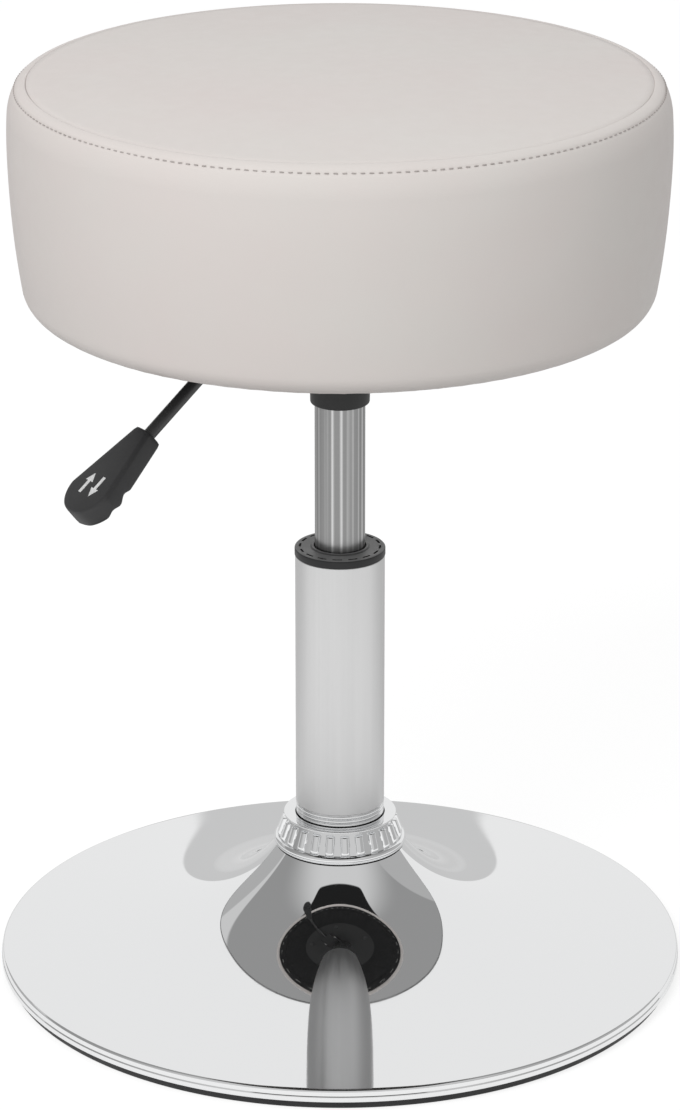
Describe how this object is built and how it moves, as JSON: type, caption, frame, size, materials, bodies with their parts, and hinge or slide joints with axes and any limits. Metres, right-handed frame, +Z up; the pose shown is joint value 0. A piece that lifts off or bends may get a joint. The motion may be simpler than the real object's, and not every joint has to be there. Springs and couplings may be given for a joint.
{
  "type": "vanity stool",
  "caption": "Round padded swivel stool on a gas-lift column, with a height lever under the seat and a flared chrome trumpet base on a black floor ring.",
  "frame": {"origin": "on the floor, on the column's axis", "axes": "+Z up along the column, +X along the lever, +Y to the left of the lever"},
  "size_m": [0.388, 0.388, 0.5238],
  "materials": {
    "chrome": "polished",
    "satin_tube": "satin",
    "brushed_stem": "satin",
    "black_plastic": "satin",
    "inner_plastic": "matte",
    "black_paint": "satin",
    "lever_steel": "gloss",
    "zinc_steel": "satin",
    "bearing_steel": "polished",
    "valve_metal": "satin",
    "rubber": "matte",
    "faux_leather": "satin",
    "foam": "matte",
    "plywood": "matte",
    "dust_cloth": "matte"
  },
  "bodies": {
    "base": {"floor_ring": "black_plastic", "base_plate": "black_paint", "base_screws": "zinc_steel", "trumpet_base": "chrome", "base_hub": "zinc_steel", "chrome_collar": "chrome", "column_tube": "satin_tube", "column_floor": "zinc_steel", "guide_bush": "black_plastic", "bearing_lower_race": "bearing_steel"},
    "gas_rod": {"piston_rod": "zinc_steel", "piston": "inner_plastic", "piston_ring": "rubber", "rod_clip": "zinc_steel", "clip_washer": "zinc_steel", "bearing_upper_race": "bearing_steel", "rubber_damper": "rubber"},
    "bearing_cage": {"bearing_cage": "inner_plastic", "bearing_balls": "bearing_steel"},
    "seat": {"gas_cylinder": "brushed_stem", "rod_guide": "inner_plastic", "rod_seal": "rubber", "valve_body": "valve_metal", "valve_seals": "rubber", "seat_socket": "black_paint", "lever_housing": "black_paint", "lever_pivot_pin": "zinc_steel", "pivot_clip": "zinc_steel", "seat_plate": "black_paint", "plate_bolts": "zinc_steel", "plate_washers": "zinc_steel", "seat_t_nuts": "zinc_steel", "seat_board": "plywood", "seat_foam": "foam", "seat_top_panel": "faux_leather", "seat_side_band": "faux_leather", "dust_cover": "dust_cloth", "cover_staples": "zinc_steel"},
    "lever": {"lever_rod": "lever_steel", "lever_bush": "inner_plastic", "lever_grip": "black_plastic"},
    "valve_pin": {"valve_pin": "valve_metal"}
  },
  "joints": [
    {"name": "seat_swivel", "type": "hinge", "parent": "base", "child": "gas_rod", "pos_m": [0, 0, 0.021], "axis": [0, 0, 1], "continuous": true},
    {"name": "bearing_cage_turn", "type": "hinge", "parent": "base", "child": "bearing_cage", "pos_m": [0, 0, 0.019], "axis": [0, 0, 1], "continuous": true},
    {"name": "seat_height", "type": "slide", "parent": "gas_rod", "child": "seat", "axis": [0, 0, 1], "range_m": [-0.08, 0.05]},
    {"name": "lever_pull", "type": "hinge", "parent": "seat", "child": "lever", "pos_m": [0.03, 0, 0.38], "axis": [0, -1, 0], "range_deg": [0, 8], "stiffness_Nm_per_rad": 3, "springref_deg": -2.86},
    {"name": "valve_pin_press", "type": "slide", "parent": "seat", "child": "valve_pin", "axis": [0, 0, 1], "range_m": [-0.0045, 0]}
  ],
  "couplings": [
    {"joint": "bearing_cage_turn", "follows": "seat_swivel", "ratio": 0.5},
    {"joint": "valve_pin_press", "follows": "lever_pull", "m_per_rad": -0.03}
  ]
}
